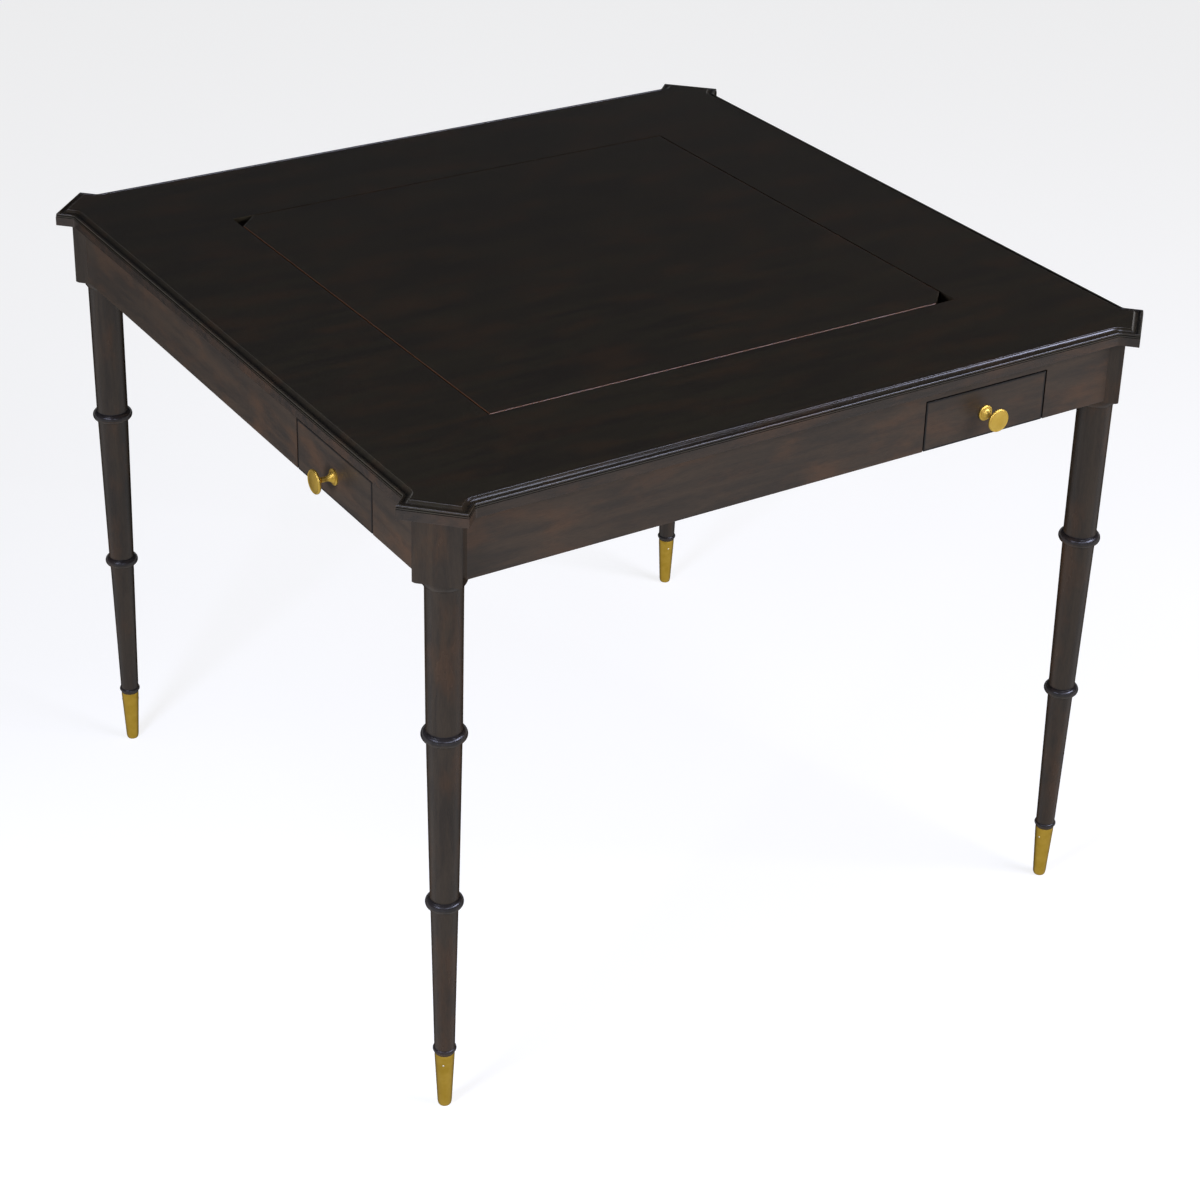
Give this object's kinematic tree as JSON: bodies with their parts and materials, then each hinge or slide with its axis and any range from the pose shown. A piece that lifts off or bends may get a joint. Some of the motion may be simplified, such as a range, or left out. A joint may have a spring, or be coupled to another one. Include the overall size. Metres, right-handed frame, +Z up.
{
  "type": "games table",
  "caption": "Square wooden games table with turned legs on brass ferrules, a moulded top outset over the legs, a lift-out panel over a well, and small drawers in the aprons.",
  "frame": {"origin": "on the floor under the middle of the table", "axes": "+Z up, -Y out of the front, +X to the right; the corner nearest the camera in the picture is -X -Y"},
  "size_m": [0.963, 0.963, 0.762],
  "materials": {
    "dark_wood": "satin",
    "inner_wood": "matte",
    "brass": "satin",
    "steel": "satin"
  },
  "bodies": {
    "table": {"apron_back": "dark_wood", "apron_front": "dark_wood", "apron_left": "dark_wood", "apron_right": "dark_wood", "corner_block_back_left": "inner_wood", "corner_block_back_right": "inner_wood", "corner_block_front_left": "inner_wood", "corner_block_front_right": "inner_wood", "drawer_runners_back": "inner_wood", "drawer_runners_front": "inner_wood", "drawer_runners_left": "inner_wood", "drawer_runners_right": "inner_wood", "ferrule_back_left": "brass", "ferrule_back_right": "brass", "ferrule_front_left": "brass", "ferrule_front_right": "brass", "ferrule_pins": "brass", "hanger_bolts": "steel", "hanger_nuts": "steel", "leg_back_left": "dark_wood", "leg_back_right": "dark_wood", "leg_front_left": "dark_wood", "leg_front_right": "dark_wood", "panel_ledges": "dark_wood", "top_board_back": "dark_wood", "top_board_front": "dark_wood", "top_board_left": "dark_wood", "top_board_right": "dark_wood", "top_screws": "steel", "well_floor": "dark_wood", "well_wall_back": "dark_wood", "well_wall_front": "dark_wood", "well_wall_left": "dark_wood", "well_wall_right": "dark_wood"},
    "drawer_front": {"drawer_back_front": "inner_wood", "drawer_bottom_front": "inner_wood", "drawer_front_front": "dark_wood", "drawer_side_left_front": "inner_wood", "drawer_side_right_front": "inner_wood", "knob_front": "brass"},
    "drawer_right": {"drawer_back_right": "inner_wood", "drawer_bottom_right": "inner_wood", "drawer_front_right": "dark_wood", "drawer_side_left_right": "inner_wood", "drawer_side_right_right": "inner_wood", "knob_right": "brass"},
    "drawer_back": {"drawer_back_back": "inner_wood", "drawer_bottom_back": "inner_wood", "drawer_front_back": "dark_wood", "drawer_side_left_back": "inner_wood", "drawer_side_right_back": "inner_wood", "knob_back": "brass"},
    "drawer_left": {"drawer_back_left": "inner_wood", "drawer_bottom_left": "inner_wood", "drawer_front_left": "dark_wood", "drawer_side_left_left": "inner_wood", "drawer_side_right_left": "inner_wood", "knob_left": "brass"},
    "top_panel": {"lift_out_panel": "dark_wood"}
  },
  "joints": [
    {"name": "drawer_slide_front", "type": "slide", "parent": "table", "child": "drawer_front", "axis": [0, -1, 0], "range_m": [0, 0.1]},
    {"name": "drawer_slide_right", "type": "slide", "parent": "table", "child": "drawer_right", "axis": [1, 0, 0], "range_m": [0, 0.1]},
    {"name": "drawer_slide_back", "type": "slide", "parent": "table", "child": "drawer_back", "axis": [0, 1, 0], "range_m": [0, 0.1]},
    {"name": "drawer_slide_left", "type": "slide", "parent": "table", "child": "drawer_left", "axis": [-1, 0, 0], "range_m": [0, 0.1]},
    {"name": "panel_lift", "type": "slide", "parent": "table", "child": "top_panel", "axis": [0, 0, 1], "range_m": [0, 0.15]}
  ]
}
